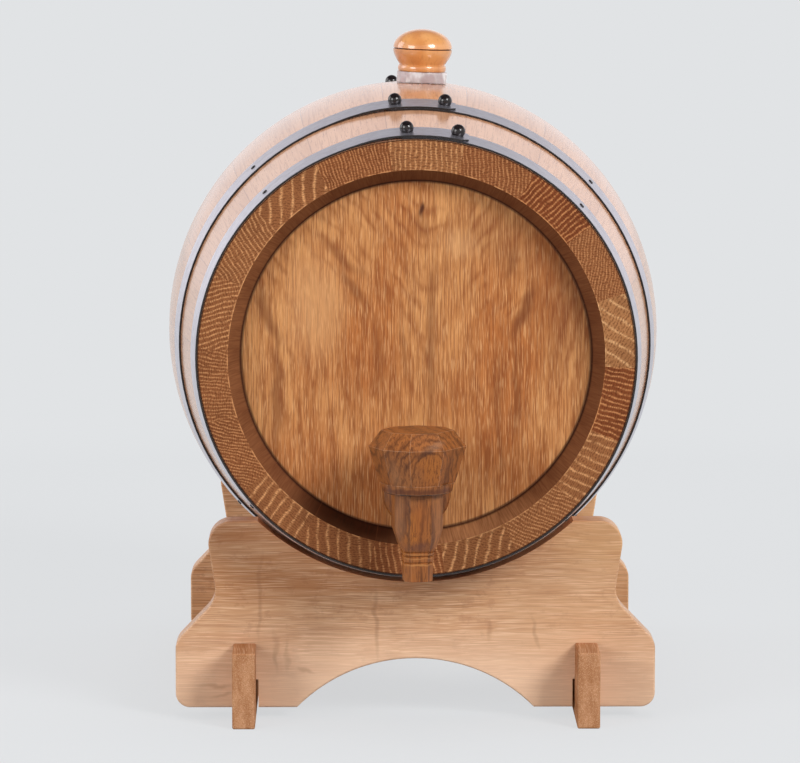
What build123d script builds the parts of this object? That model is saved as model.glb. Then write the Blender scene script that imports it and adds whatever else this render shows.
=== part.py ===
from build123d import *

import os
from math import asin, copysign, cos, degrees, radians, sin, sqrt, tan

# Oak cask of five litres with a wooden plug-valve tap, lying in a cradle of two boards.
# Millimetres. X to the right, Y from the tap towards the rear head, Z up. The origin is on the
# ground, midway between the front of the tap's key and the rear end of the staves.
# "Along" is a distance from the middle of the cask, negative towards the tap.
# Angles round the cask are clockwise from the top, seen from the front.

os.makedirs("parts", exist_ok=True)

# Clearances
glue_gap = 0.15  # between parts of the stand that are lapped and glued
hoop_gap = 0.05  # between a hoop and the staves
pin_gap = 0.05  # round dowels, rivets, nails and the tap's shank
plug_gap = 0.05  # running fit of the tap's plug in its seat
croze_gap = 0.3  # round the rim of a head, in its groove
resting_gap = 0.3  # between things that lift apart

# Staves
stave_count = 18
half_length = 132.7  # middle of the cask to the end of a stave
end_radius = 89.3  # outside, at the end of the staves
stave_taper = 9.2  # slope of the straight outer stretch, degrees
bend_radius = 405.0  # of the bent middle stretch, along the outside
end_thickness = 12.4  # flat end grain
chime_depth = 10.0  # bevelled chime, from the end to the croze
chime_bevel = 5.1  # how far the chime narrows
croze_width = 6.0
croze_depth = 3.8
croze_thickness = 19.5  # stave behind the croze
bilge_thickness = 16.0  # stave at the bung, hollowed thinner
roll = 2.6  # how far the bung stave is turned from the top, degrees

# Heads
head_thickness = 12.0
head_set_back = 0.5  # shadow gap between the chime and the face of the head
head_bevel = 5.0  # bevel on the inside, down to the rim
head_joints = (-41.0, 16.0)  # joints between the three boards of the front head
dowel_radius = 2.5
dowel_length = 20.0
dowel_inset = 25.4  # upright, in from the rim of the head

# Hoops
hoop_thickness = 0.8
hoop_width = 15.0
head_hoop_set_back = 0.2  # from the end of the staves
quarter_hoop_set_back = 53.0
lap_length = 30.0
lap_corner = 3.0
head_lap_angle = 4.0
quarter_lap_angle = 1.2
rivet_pitch = 20.4
rivet_head_radius = 2.9
rivet_tuck = 31.0  # how far the ball head closes in below its widest, degrees
rivet_shank_radius = 1.5
nail_angles = (-42.5, 47.5, 137.5, 227.5)
nail_head_radius = 1.1
nail_head_thickness = 0.5
nail_shank_radius = 0.6
nail_length = 9.0

# Bung
bung_angle = 2.1  # bored by eye, near the middle of the bung stave
bung_plug_radius = 9.0  # at the outside of the stave
bung_plug_taper = 3.5  # degrees
bung_plug_depth = 13.0
bung_flange_lip = 1.75  # how far the flange reaches past the plug
bung_flange_top = 4.6  # above the stave
tenon_radius = 5.0
tenon_length = 11.0
knob_bead_radius = 10.2
knob_bead_height = 2.9
knob_radius = 12.75
knob_waist_height = 10.2  # widest part, above the flange
knob_dome_height = 8.2
knob_line = 0.5
round_pull = 0.5523  # handle length that makes a curve's quarter turn round

# Tap
tap_ahead = 24.3  # tap's upright axis, ahead of the staves
tap_above_chime = 15.8  # shank's axis, in from the narrow edge of the chime
shank_root_radius = 9.0
shank_tip_radius = 7.5
shank_length = 30.0
stop_radius = 14.0  # stop flange that bears on the head
stop_thickness = 7.0
neck_radius = 7.5
inlet_radius = 2.75
inlet_drop = 3.0  # inlet bore, below the shank's axis
body_top = 4.2  # flat top of the body, above the shank's axis
spout_length = 35.6
spout_bore_radius = 3.5
plug_top_radius = 7.2
plug_bottom_radius = 6.2
plug_length = 18.2
plug_end_gap = 0.5
spout_sections = (  # height above the spout's mouth, half width, half width of the flat
    (0.0, 5.65, 3.3),
    (9.8, 5.9, 3.5),
    (12.7, 6.4, 3.9),
    (15.0, 7.6, 4.2),
    (21.4, 9.7, 4.4),
    (spout_length, 9.7, 4.4),
)
spout_turn = 8.0  # the eight flats are planed askew, degrees
key_lift = 0.5  # gap under the key's collar
key_corners = (-90, -44, -10, 32, 88, 133, 178, 225)  # whittled by eye, degrees from the front
collar_radius = 14.0
collar_taper = 10.0  # widens to the key above, degrees
collar_height = 3.8
key_root_radius = 15.2
key_radius = 19.75  # corners of the widest part
key_top_radius = 14.7
key_root_height = 14.8  # collar to widest part
key_crown_height = 6.5  # widest part to top

# Stand
board_thickness = 15.0
board_set_back = 30.6  # from the end of the staves to the board
foot_half_width = 100.0
foot_clearance = 4.6  # boards stand clear of the ground on the rails
shoulder_height = 32.4
waist_height = 50.4
waist_inset = 5.1  # in from the outside of the horn
cradle_floor = 57.5  # top of the board under the cask
horn_rise = 25.5  # above the floor of the cradle
horn_width = 22.2  # flat top, from the cradle to the horn's corner
foot_round = 6.0
shoulder_round = 8.0
waist_round = 12.0
horn_round = 9.5
arch_half_width = 49.4
arch_height = 20.6  # above the foot
edge_round = 0.8
rail_overhang = 24.85  # past the outer faces of the boards
rail_height = 31.7
rail_thickness = 9.4
rail_inside = 66.5  # from the middle plane to the inner face of a rail
lap_height = 16.5  # where the laps of boards and rails meet
slot_slack = 1.0  # the boards' slots are this much wide on the inner side

# The cask's outside is two tapers that a large radius joins at the bilge.
taper = radians(stave_taper)
peak_radius = end_radius + half_length * tan(taper)
bilge_radius = peak_radius - bend_radius * (1 / cos(taper) - 1)
bend_half_length = bend_radius * sin(taper)


def outer_radius(along):
    """Outside radius of the cask."""
    if abs(along) > bend_half_length:
        return peak_radius - abs(along) * tan(taper)
    return bilge_radius - bend_radius + sqrt(bend_radius**2 - along**2)


def outer_slope(along):
    """How steeply the outside narrows towards the rear, in radians."""
    if abs(along) > bend_half_length:
        return copysign(taper, along)
    return asin(along / bend_radius)


# The cask lies in the cradle of the boards, where it touches their inner, higher edge.
board_middle = half_length - board_set_back - board_thickness / 2
cradle_radius = outer_radius(board_middle - board_thickness / 2) + resting_gap
axis_height = cradle_floor + cradle_radius
key_reach = key_radius * max(cos(radians(turn)) for turn in key_corners)
cask_y = (tap_ahead + key_reach) / 2
cask_axis = Axis((0, cask_y, axis_height), (0, 1, 0))


def cask_plane(angle):
    """Plane through the cask's axis: X runs along the cask, Y points outwards at the angle."""
    turn = radians(angle)
    return Plane(origin=(0, cask_y, axis_height), x_dir=(0, 1, 0), z_dir=(cos(turn), 0, -sin(turn)))


def surface_plane(along, angle, lift=0.0):
    """Plane on the outside of the staves, with Z straight out of the wood."""
    turn = radians(angle)
    slope = outer_slope(along)
    outwards = Vector(sin(turn), 0, cos(turn))
    normal = outwards * cos(slope) + Vector(0, 1, 0) * sin(slope)
    foot = Vector(0, cask_y + along, axis_height) + outwards * outer_radius(along)
    return Plane(origin=foot + normal * lift, x_dir=(cos(turn), 0, -sin(turn)), z_dir=normal)


def write(part, name):
    part.label = name
    export_step(part, f"parts/{name}.step")


# ---------------------------------------------------------------- hoops and their fasteners
head_hoop_along = half_length - head_hoop_set_back - hoop_width / 2
quarter_hoop_along = half_length - quarter_hoop_set_back - hoop_width / 2
hoops = {
    "hoop_head_front": (-head_hoop_along, head_lap_angle),
    "hoop_quarter_front": (-quarter_hoop_along, quarter_lap_angle),
    "hoop_quarter_rear": (quarter_hoop_along, quarter_lap_angle),
    "hoop_head_rear": (head_hoop_along, head_lap_angle),
}


def rivet_angles(along, lap_angle):
    """The two rivets stand either side of the middle of the lap."""
    step = degrees(rivet_pitch / 2 / outer_radius(along))
    return (lap_angle - step, lap_angle + step)


def strip_section(along, layer):
    """Corners of the hoop strip's section, in a plane through the cask's axis."""
    edges = (along - hoop_width / 2, along + hoop_width / 2)
    belly = outer_radius(along) - (outer_radius(edges[0]) + outer_radius(edges[1])) / 2
    inside = belly + hoop_gap + layer * hoop_thickness
    outside = inside + hoop_thickness
    return [(edge, outer_radius(edge) + inside) for edge in edges] + [
        (edge, outer_radius(edge) + outside) for edge in reversed(edges)
    ]


def make_hoop(along, lap_angle):
    """Strip bent into a cone, with one end lapped over the other and its corners clipped."""
    lap_span = degrees(lap_length / outer_radius(along))
    with BuildPart() as lap:
        with BuildSketch(cask_plane(lap_angle - lap_span / 2)):
            Polygon(*strip_section(along, 1), align=None)
        revolve(axis=cask_axis, revolution_arc=lap_span)
        chamfer(lap.edges().group_by(SortBy.LENGTH)[0], lap_corner)
    with BuildPart() as hoop:
        with BuildSketch(cask_plane(0)):
            Polygon(*strip_section(along, 0), align=None)
        revolve(axis=cask_axis)
        add(lap.part)
        for angle in rivet_angles(along, lap_angle):
            with Locations(surface_plane(along, angle, 3 * hoop_thickness)):
                Hole(rivet_shank_radius + pin_gap, depth=4 * hoop_thickness)
        for angle in nail_angles:
            with Locations(surface_plane(along, angle, 2 * hoop_thickness)):
                Hole(nail_shank_radius + pin_gap, depth=3 * hoop_thickness)
    return hoop.part


for hoop_name, (hoop_along, hoop_lap_angle) in hoops.items():
    write(make_hoop(hoop_along, hoop_lap_angle), hoop_name)

with BuildPart() as hoop_rivets:
    lap_top = hoop_gap + 2 * hoop_thickness + pin_gap
    rivet_places = [
        surface_plane(along, angle, lap_top)
        for along, lap_angle in hoops.values()
        for angle in rivet_angles(along, lap_angle)
    ]
    with Locations(*rivet_places):
        Cylinder(rivet_shank_radius, lap_top, align=(Align.CENTER, Align.CENTER, Align.MAX))
        Sphere(rivet_head_radius, arc_size1=-rivet_tuck, align=(Align.CENTER, Align.CENTER, Align.MIN))
write(hoop_rivets.part, "hoop_rivets")

with BuildPart() as hoop_nails:
    strip_top = hoop_gap + hoop_thickness + pin_gap
    nail_places = [
        surface_plane(along, angle, strip_top) for along, _ in hoops.values() for angle in nail_angles
    ]
    with Locations(*nail_places):
        Cylinder(nail_shank_radius, nail_length, align=(Align.CENTER, Align.CENTER, Align.MAX))
        Cylinder(nail_head_radius, nail_head_thickness, align=(Align.CENTER, Align.CENTER, Align.MIN))
write(hoop_nails.part, "hoop_nails")

# ---------------------------------------------------------------- staves
stave_angle = 360 / stave_count
croze_front = half_length - chime_depth
croze_back = croze_front - croze_width
lip_radius = end_radius - end_thickness - chime_bevel
croze_radius = lip_radius + croze_depth
croze_back_radius = outer_radius(croze_back) - croze_thickness
bung_turn = radians(bung_angle)
bung_axis = Axis((0, cask_y, axis_height), (sin(bung_turn), 0, cos(bung_turn)))


def bung_plug_radius_at(radius):
    """Radius of the stopper's tapered plug, at a distance from the cask's axis."""
    return bung_plug_radius - (bilge_radius - radius) * tan(radians(bung_plug_taper))


def make_stave(start_angle):
    """Stave with planed radial edges, crozed and bevelled at both ends."""
    end_corners = [
        (half_length, end_radius),
        (half_length, end_radius - end_thickness),
        (croze_front, lip_radius),
        (croze_front, croze_radius),
        (croze_back, croze_radius),
        (croze_back, croze_back_radius),
    ]
    other_corners = [(-along, radius) for along, radius in end_corners]
    with BuildPart() as stave:
        with BuildSketch(cask_plane(start_angle)):
            with BuildLine():
                FilletPolyline(other_corners[0], (0, peak_radius), end_corners[0], radius=bend_radius)
                Polyline(*end_corners)
                Polyline(*other_corners)
                ThreePointArc(end_corners[-1], (0, bilge_radius - bilge_thickness), other_corners[-1])
            make_face()
        revolve(axis=cask_axis, revolution_arc=stave_angle)
        for along, _ in hoops.values():
            for angle in nail_angles:
                if (angle - start_angle) % 360 < stave_angle:
                    with Locations(surface_plane(along, angle)):
                        Hole(nail_shank_radius + pin_gap, depth=nail_length)
    return stave.part


with BuildPart() as bung_stave:
    add(make_stave(roll - stave_angle / 2))
    with BuildSketch(cask_plane(bung_angle)):
        inside = bilge_radius - 2 * bilge_thickness
        outside = bilge_radius + bilge_thickness
        Polygon(
            (0, inside),
            (bung_plug_radius_at(inside) + resting_gap, inside),
            (bung_plug_radius_at(outside) + resting_gap, outside),
            (0, outside),
            align=None,
        )
    revolve(axis=bung_axis, mode=Mode.SUBTRACT)
write(bung_stave.part, "bung_stave")

for number in range(2, stave_count + 1):
    write(make_stave(roll + (number - 1.5) * stave_angle), f"stave_{number:02d}")

# ---------------------------------------------------------------- heads
head_face = croze_front - head_set_back
head_back = head_face - head_thickness
rim_back = croze_back + croze_gap
rim_radius = croze_radius - croze_gap
rim_shoulder = croze_back_radius - 2 * croze_gap
head_middle = (head_face + head_back) / 2
dowel_reach = max(abs(joint) for joint in head_joints) + dowel_length / 2
dowel_rise = sqrt(rim_radius**2 - dowel_reach**2) - dowel_inset
dowel_heights = (axis_height - dowel_rise, axis_height + dowel_rise)

tap_y = cask_y - half_length - tap_ahead
tap_z = axis_height - lip_radius + tap_above_chime
stop_back = cask_y - head_face - resting_gap  # back of the stop flange, along Y
shank_plane = Plane(origin=(0, stop_back, tap_z), z_dir=(0, 1, 0))


def dowel_places(side, joints):
    """Middles of the dowels that cross the joints of a head, with Z along the dowel."""
    return [
        Plane(origin=(joint, cask_y + side * head_middle, height), z_dir=(1, 0, 0))
        for joint in joints
        for height in dowel_heights
    ]


def make_head_board(side, joints, low, high):
    """Board of a head, between two joints, its rim bevelled on the inside to fit the croze."""
    with BuildPart() as board:
        with BuildSketch(cask_plane(0)):
            Polygon(
                (side * head_face, 0),
                (side * head_face, rim_radius),
                (side * rim_back, rim_radius),
                (side * rim_back, rim_shoulder),
                (side * head_back, rim_shoulder - head_bevel),
                (side * head_back, 0),
                align=None,
            )
        revolve(axis=cask_axis)
        if low is not None:
            split(bisect_by=Plane.YZ.offset(low), keep=Keep.TOP)
        if high is not None:
            split(bisect_by=Plane.YZ.offset(high), keep=Keep.BOTTOM)
        with Locations(*dowel_places(side, joints)):
            Cylinder(dowel_radius + pin_gap, dowel_length + 2 * pin_gap, mode=Mode.SUBTRACT)
    return board.part


def write_head(side, joints, end):
    """The three boards of a head and the dowels between them."""
    left, right = joints
    write(make_head_board(side, joints, None, left), f"head_{end}_left")
    write(make_head_board(side, joints, right, None), f"head_{end}_right")
    with BuildPart() as middle:
        add(make_head_board(side, joints, left, right))
        if side < 0:
            with Locations(shank_plane):
                Cone(
                    shank_root_radius + pin_gap,
                    shank_tip_radius + pin_gap,
                    shank_length,
                    align=(Align.CENTER, Align.CENTER, Align.MIN),
                    mode=Mode.SUBTRACT,
                )
    write(middle.part, f"head_{end}_middle")
    with BuildPart() as dowels:
        with Locations(*dowel_places(side, joints)):
            Cylinder(dowel_radius, dowel_length)
        chamfer(dowels.edges().filter_by(GeomType.CIRCLE), dowel_radius / 4)
    write(dowels.part, f"head_dowels_{end}")


write_head(-1, head_joints, "front")
write_head(1, [-joint for joint in reversed(head_joints)], "rear")

# ---------------------------------------------------------------- bung
flange_top = bilge_radius + bung_flange_top
plug_end = bilge_radius - bung_plug_depth
tenon_end = flange_top - tenon_length
bung_flange_radius = bung_plug_radius + bung_flange_lip

with BuildPart() as bung_seal:
    # Flange, hollowed underneath to the curve of the staves
    with BuildSketch(cask_plane(bung_angle)):
        Polygon(
            (0, plug_end),
            (bung_flange_radius, plug_end),
            (bung_flange_radius, flange_top),
            (0, flange_top),
            align=None,
        )
    revolve(axis=bung_axis)
    with BuildSketch(cask_plane(bung_angle)):
        with BuildLine():
            saddle = [
                (along, outer_radius(along) + resting_gap)
                for along in (-2 * bung_flange_radius, 0, 2 * bung_flange_radius)
            ]
            ThreePointArc(*saddle)
            Polyline(saddle[0], (saddle[0][0], 0), (saddle[-1][0], 0), saddle[-1])
        make_face()
    revolve(axis=cask_axis, mode=Mode.SUBTRACT)
    # Tapered plug, and the blind hole that takes the knob's tenon
    with BuildSketch(cask_plane(bung_angle)):
        Polygon(
            (0, plug_end),
            (bung_plug_radius_at(plug_end), plug_end),
            (bung_plug_radius_at(bilge_radius + bung_flange_top / 2), bilge_radius + bung_flange_top / 2),
            (0, bilge_radius + bung_flange_top / 2),
            align=None,
        )
    revolve(axis=bung_axis)
    with BuildSketch(cask_plane(bung_angle)):
        hole_end = tenon_end - plug_end_gap
        Polygon(
            (0, hole_end),
            (tenon_radius + pin_gap, hole_end),
            (tenon_radius + pin_gap, flange_top),
            (0, flange_top),
            align=None,
        )
    revolve(axis=bung_axis, mode=Mode.SUBTRACT)
write(bung_seal.part, "bung_seal")

with BuildPart() as bung_knob:
    bead_base = flange_top + pin_gap
    bead_top = bead_base + knob_bead_height
    waist = bead_base + knob_waist_height
    with BuildSketch(cask_plane(bung_angle)):
        with BuildLine():
            Polyline(
                (0, waist + knob_dome_height),
                (0, tenon_end),
                (tenon_radius, tenon_end),
                (tenon_radius, bead_base),
                (knob_bead_radius - knob_line, bead_base),
            )
            ThreePointArc(
                (knob_bead_radius - knob_line, bead_base),
                (knob_bead_radius + knob_line / 2, (bead_base + bead_top) / 2),
                (knob_bead_radius - knob_line, bead_top),
            )
            ThreePointArc(
                (knob_bead_radius - knob_line, bead_top),
                (knob_radius - 2 * knob_line, (bead_top + waist) / 2),
                (knob_radius, waist - knob_line),
            )
            Polyline(
                (knob_radius, waist - knob_line),
                (knob_radius - knob_line, waist - knob_line / 2),
                (knob_radius, waist),
            )
            Bezier(
                (knob_radius, waist),
                (knob_radius, waist + round_pull * knob_dome_height),
                (round_pull * knob_radius, waist + knob_dome_height),
                (0, waist + knob_dome_height),
            )
        make_face()
    revolve(axis=bung_axis)
write(bung_knob.part, "bung_knob")

# ---------------------------------------------------------------- tap
body_top_z = tap_z + body_top
mouth_z = body_top_z - spout_length
inlet_z = tap_z - inlet_drop
seat_end_z = body_top_z - plug_length - plug_end_gap
shank_reach = stop_back - tap_y  # upright axis to the back of the stop flange
plug_taper = (plug_top_radius - plug_bottom_radius) / plug_length


def tap_plane(height, turn=0.0):
    """Level plane on the tap's upright axis, turned round it."""
    return Plane(origin=(0, tap_y, height)).rotated((0, 0, turn))


with BuildPart() as tap_body:
    # Turned shank, stop flange, cove and neck, about the level axis
    with BuildSketch(Plane(origin=(0, tap_y, tap_z), x_dir=(0, 1, 0), z_dir=(1, 0, 0))):
        stop_front = shank_reach - stop_thickness
        cove = stop_radius - neck_radius
        with BuildLine():
            Polyline(
                (stop_front, stop_radius),
                (shank_reach, stop_radius),
                (shank_reach, shank_root_radius),
                (shank_reach + shank_length, shank_tip_radius),
                (shank_reach + shank_length, 0),
                (0, 0),
                (0, neck_radius),
                (stop_front - cove, neck_radius),
            )
            RadiusArc((stop_front - cove, neck_radius), (stop_front, stop_radius), -cove)
        make_face()
        fillet(vertices().group_by(Axis.Y)[-1], stop_thickness / 4)
    revolve(axis=Axis((0, tap_y, tap_z), (0, 1, 0)))
    # Eight-sided spout, which narrows to its mouth
    for height, half_width, half_flat in spout_sections:
        with BuildSketch(tap_plane(mouth_z + height, spout_turn)):
            Polygon(
                (half_flat, -half_width),
                (half_width, -half_flat),
                (half_width, half_flat),
                (half_flat, half_width),
                (-half_flat, half_width),
                (-half_width, half_flat),
                (-half_width, -half_flat),
                (-half_flat, -half_width),
                align=None,
            )
    loft(ruled=True)
    # Flat round seat for the key's collar
    with BuildSketch(tap_plane(body_top_z)):
        Circle(collar_radius + key_lift)
    extrude(amount=stop_radius, mode=Mode.SUBTRACT)
    # Tapered plug seat, spout bore and inlet bore
    with Locations(tap_plane(body_top_z)):
        Cone(
            plug_bottom_radius + plug_gap - plug_end_gap * plug_taper,
            plug_top_radius + plug_gap,
            plug_length + plug_end_gap,
            align=(Align.CENTER, Align.CENTER, Align.MAX),
            mode=Mode.SUBTRACT,
        )
    with BuildSketch(tap_plane(mouth_z)):
        Circle(spout_bore_radius)
    extrude(amount=seat_end_z - mouth_z, mode=Mode.SUBTRACT)
    with BuildSketch(Plane(origin=(0, stop_back + shank_length, inlet_z), z_dir=(0, -1, 0))):
        Circle(inlet_radius)
    extrude(amount=shank_length + shank_reach, mode=Mode.SUBTRACT)
write(tap_body.part, "tap_body")

with BuildPart() as tap_key:
    collar_z = body_top_z + key_lift
    root_z = collar_z + collar_height
    widest_z = root_z + key_root_height
    for height, radius in (
        (root_z, key_root_radius),
        (widest_z, key_radius),
        (widest_z + key_crown_height, key_top_radius),
    ):
        with BuildSketch(tap_plane(height)):
            corners = [(radius * sin(radians(turn)), -radius * cos(radians(turn))) for turn in key_corners]
            Polygon(*corners, align=None)
    loft(ruled=True)
    with BuildSketch(tap_plane(collar_z)):
        Circle(collar_radius)
    extrude(amount=collar_height, taper=-collar_taper)
    chamfer(tap_key.faces().sort_by(Axis.Z)[0].edges(), key_lift)
    # Tapered plug with an L-shaped port: up from below, out to the side
    with Locations(tap_plane(body_top_z)):
        Cone(
            plug_bottom_radius,
            plug_top_radius,
            plug_length,
            align=(Align.CENTER, Align.CENTER, Align.MAX),
        )
        Cylinder(plug_top_radius, key_lift, align=(Align.CENTER, Align.CENTER, Align.MIN))
    with BuildSketch(tap_plane(body_top_z - plug_length)):
        Circle(inlet_radius)
    extrude(amount=inlet_z - (body_top_z - plug_length), mode=Mode.SUBTRACT)
    with BuildSketch(Plane(origin=(0, tap_y, inlet_z), z_dir=(1, 0, 0))):
        Circle(inlet_radius)
    extrude(amount=plug_top_radius, mode=Mode.SUBTRACT)
write(tap_key.part, "tap_key")

# ---------------------------------------------------------------- stand
horn_height = cradle_floor + horn_rise
horn_half_width = sqrt(cradle_radius**2 - (cradle_radius - horn_rise) ** 2) + horn_width
waist_half_width = horn_half_width - waist_inset
rail_length = 2 * (board_middle + board_thickness / 2 + rail_overhang)
rail_outside = rail_inside + rail_thickness
rail_middle = (rail_inside + rail_outside) / 2


def make_board(middle):
    """Cradle board: arched foot, shoulders, waist and rounded horns, with a round cradle sawn in."""
    foot = foot_clearance
    half_outline = [
        (arch_half_width, foot),
        (foot_half_width, foot),
        (foot_half_width, shoulder_height),
        (waist_half_width, waist_height),
        (horn_half_width, horn_height),
        (0, horn_height),
    ]
    rounds = (foot_round, shoulder_round, waist_round, horn_round)
    other_outline = [(-across, height) for across, height in half_outline]
    with BuildPart() as board:
        with BuildSketch(Plane.XZ.offset(-middle)):
            with BuildLine():
                FilletPolyline(*half_outline, radius=rounds)
                FilletPolyline(*other_outline, radius=rounds)
                ThreePointArc(half_outline[0], (0, foot + arch_height), other_outline[0])
            make_face()
        extrude(amount=board_thickness / 2, both=True)
        fillet(board.faces().filter_by(Axis.Y).edges(), edge_round)
        with BuildSketch(Plane.XZ.offset(-middle)):
            with Locations((0, axis_height)):
                Circle(cradle_radius)
            for side in (-1, 1):
                slot_width = rail_thickness + glue_gap + slot_slack
                slot_middle = rail_outside + glue_gap - slot_width / 2
                with Locations((side * slot_middle, lap_height)):
                    Rectangle(slot_width, lap_height, align=(Align.CENTER, Align.MAX))
        extrude(amount=board_thickness, both=True, mode=Mode.SUBTRACT)
    return board.part


def make_rail(side):
    """Rail on edge, notched from the top to take the two boards."""
    with BuildPart() as rail:
        with Locations((side * rail_middle, cask_y, 0)):
            Box(rail_thickness, rail_length, rail_height, align=(Align.CENTER, Align.CENTER, Align.MIN))
        fillet(rail.edges(), edge_round)
        for middle in (-board_middle, board_middle):
            with Locations((side * rail_middle, cask_y + middle, lap_height - glue_gap)):
                Box(
                    2 * rail_thickness,
                    board_thickness + 2 * glue_gap,
                    rail_height,
                    align=(Align.CENTER, Align.CENTER, Align.MIN),
                    mode=Mode.SUBTRACT,
                )
    return rail.part


write(make_board(cask_y - board_middle), "stand_board_front")
write(make_board(cask_y + board_middle), "stand_board_rear")
write(make_rail(-1), "stand_rail_left")
write(make_rail(1), "stand_rail_right")
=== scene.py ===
import math
import bpy
from mathutils import Matrix, Vector


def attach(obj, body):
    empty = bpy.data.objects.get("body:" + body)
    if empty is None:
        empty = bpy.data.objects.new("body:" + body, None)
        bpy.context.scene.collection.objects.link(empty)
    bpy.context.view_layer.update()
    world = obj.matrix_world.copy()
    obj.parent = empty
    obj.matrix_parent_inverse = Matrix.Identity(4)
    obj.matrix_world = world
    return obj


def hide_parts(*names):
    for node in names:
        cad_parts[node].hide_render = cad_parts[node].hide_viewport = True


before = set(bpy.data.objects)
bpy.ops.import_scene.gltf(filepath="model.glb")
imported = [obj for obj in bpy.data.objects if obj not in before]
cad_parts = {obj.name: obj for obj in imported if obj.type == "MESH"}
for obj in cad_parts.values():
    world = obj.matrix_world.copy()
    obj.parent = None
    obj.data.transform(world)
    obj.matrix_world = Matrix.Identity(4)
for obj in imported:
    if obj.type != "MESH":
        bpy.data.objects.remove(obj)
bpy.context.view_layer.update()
bpy.ops.object.select_all(action="DESELECT")

# ------------------------------------------------------------------------------------------ staves
# Eighteen oak staves with planed edges, bent and drawn together by the hoops. The ends are sawn
# across and left bare, so that rings and rays show; the outside is scraped and varnished clear.
mm = 0.001
axis_height = 154.486 * mm
cask_middle = 21.875 * mm
half_length = 132.7 * mm
end_radius = 89.3 * mm
stave_taper = math.radians(9.2)
stave_bend = 405.0 * mm  # radius of the bent middle stretch, along the outside
ring_middle = 83.1 * mm  # middle of the end grain, from the axis of the cask
ring_inside = 76.9 * mm
chime_foot = 71.8 * mm  # where the bevel inside the end meets the head, from the axis
stave_turn = 20.0  # degrees from one stave to the next
bung_stave_angle = 2.6  # degrees off upright


def tint(red, green, blue):
    """Colour of a finish, from its 0 to 255 values, as the shaders want it."""
    return tuple(((value / 255 + 0.055) / 1.055) ** 2.4 for value in (red, green, blue)) + (1.0,)


def put(tree, kind, sockets=None, **settings):
    """A shader node with its settings and what goes into its sockets; gives its first output."""
    made = tree.nodes.new("ShaderNode" + kind)
    for name, value in settings.items():
        setattr(made, name, value)
    for name, value in (sockets or {}).items():
        if isinstance(value, bpy.types.NodeSocket):
            tree.links.new(value, made.inputs[name])
        else:
            made.inputs[name].default_value = value
    return made.outputs[0]


def reckon(tree, operation, *terms):
    """One sum of a finish."""
    return put(tree, "Math", dict(enumerate(terms)), operation=operation)


def ramp(tree, factor, low, high):
    """From 0 at low to 1 at high, smoothly; high may be the smaller of the two."""
    sockets = {"Value": factor, "From Min": low, "From Max": high}
    return put(tree, "MapRange", sockets, interpolation_type="SMOOTHSTEP")


def stain(tree, colour, factor, other, strength=1.0):
    """The colour with another one laid over it by a factor, which a strength below 1 weakens."""
    if strength != 1.0:
        factor = reckon(tree, "MULTIPLY", factor, strength)
    return put(tree, "Mix", {0: factor, 6: colour, 7: other}, data_type="RGBA").node.outputs[2]


def parts_of(tree, place):
    """The X, Y and Z of a place."""
    return put(tree, "SeparateXYZ", {0: place}).node.outputs


def own_place(tree):
    """Place on the piece, in metres."""
    return put(tree, "TexCoord").node.outputs["Object"]


def on_piece(tree, centre=(0.0, 0.0, 0.0), turn=(0.0, 0.0, 0.0)):
    """Millimetres on the piece, from a centre, along axes that are turned."""
    sockets = {"Vector": own_place(tree), "Location": centre, "Rotation": turn}
    return put(tree, "Mapping", sockets | {"Scale": (mm, mm, mm)}, vector_type="TEXTURE")


def distance(tree, across, up):
    """How far a place lies from an axis."""
    squares = reckon(tree, "MULTIPLY_ADD", across, across, reckon(tree, "MULTIPLY", up, up))
    return reckon(tree, "SQRT", squares)


def mottle(tree, place, stretch, detail=2.0, roughness=0.5):
    """Noise from 0 to 1, with so many grains to the millimetre along each axis."""
    scaled = put(tree, "VectorMath", {0: place, 1: stretch}, operation="MULTIPLY")
    sockets = {"Vector": scaled, "Scale": 1.0, "Detail": detail, "Roughness": roughness}
    return put(tree, "TexNoise", sockets)


def drift(tree, place, stretch, detail=2.0):
    """Noise that goes either way from 0."""
    return reckon(tree, "SUBTRACT", mottle(tree, place, stretch, detail), 0.5)


def scatter(tree, place, grains):
    """Noise from 0 to 1 with a course of its own along each axis."""
    sockets = {"Vector": place, "Scale": grains, "Detail": 2.0}
    return put(tree, "TexNoise", sockets).node.outputs["Color"]


def wave(tree, along, gap=1.0):
    """From 1 down to 0 and up again, once in each gap."""
    swing = reckon(tree, "COSINE", reckon(tree, "MULTIPLY", along, math.tau / gap))
    return reckon(tree, "MULTIPLY_ADD", swing, 0.5, 0.5)


def relief(tree, height, strength):
    """Grain that can be felt, 0.2 mm deep at full strength, for the shader's normal."""
    return put(tree, "Bump", {"Strength": strength, "Distance": 0.2 * mm, "Height": height})


def new_finish(name):
    """An empty material; gives it back with its tree and its principled shader."""
    material = bpy.data.materials.new(name)
    material.use_nodes = True
    return material, material.node_tree, material.node_tree.nodes["Principled BSDF"]


def set_shader(tree, shader, **sockets):
    """What goes into the principled shader, with _ for a space in a socket's name."""
    for name, value in sockets.items():
        socket = shader.inputs[name.replace("_", " ")]
        if isinstance(value, bpy.types.NodeSocket):
            tree.links.new(value, socket)
        else:
            socket.default_value = value


def dress(node, finish):
    """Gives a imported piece, whose shape is right, its finish."""
    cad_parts[node].data.materials[0] = finish


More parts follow.
